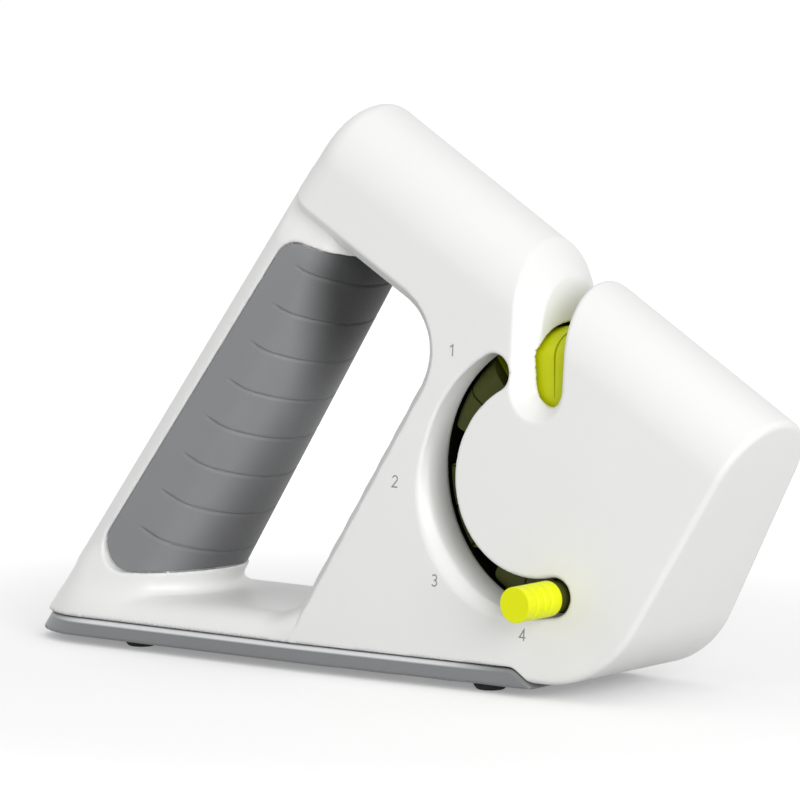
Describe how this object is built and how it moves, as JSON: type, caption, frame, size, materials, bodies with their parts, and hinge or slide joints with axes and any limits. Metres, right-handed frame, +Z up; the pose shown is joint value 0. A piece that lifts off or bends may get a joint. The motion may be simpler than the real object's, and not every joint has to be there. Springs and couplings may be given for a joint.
{
  "type": "hand-held knife sharpener",
  "caption": "Hand-held kitchen knife and scissors sharpener: sloping barrel over a closed-loop grip, knife slot on top, and a turning stage drum set by a knob in a curved side slot.",
  "frame": {"origin": "on the floor under the middle of the part's box, knob included", "axes": "+X along the length towards the nose, -Y the side with the selector knob, +Z up from the feet"},
  "size_m": [0.2076, 0.0592, 0.1295],
  "materials": {
    "white_plastic": "satin moulded ABS",
    "grip_rubber": "soft matte elastomer",
    "grey_plastic": "fine-textured ABS",
    "foot_rubber": "matte",
    "lime_plastic": "satin moulded ABS",
    "steel": "bright zinc-plated",
    "carbide": "ground tungsten carbide",
    "diamond_coat": "steel rod with a diamond grit coat",
    "ceramic": "matte sintered ceramic"
  },
  "bodies": {
    "body": {"left_housing": "white_plastic", "right_housing": "white_plastic", "base_plate": "grey_plastic", "rubber_feet": "foot_rubber", "soft_grip": "grip_rubber", "drum_axle": "steel", "wave_washer": "steel", "housing_screws": "steel", "base_screws": "steel"},
    "drum": {"drum_left_half": "lime_plastic", "drum_right_half": "lime_plastic", "selector_knob": "lime_plastic", "coarse_blade_left": "carbide", "coarse_blade_right": "carbide", "medium_rod_left": "diamond_coat", "medium_rod_right": "diamond_coat", "fine_rod_left": "ceramic", "fine_rod_right": "ceramic", "scissor_rod_left": "ceramic", "scissor_rod_right": "ceramic", "drum_screws": "steel"}
  },
  "joints": [
    {"name": "drum_turn", "type": "hinge", "parent": "body", "child": "drum", "pos_m": [0.04758, 0.0046, 0.0502], "axis": [0, 1, 0], "range_deg": [0, 162]}
  ]
}
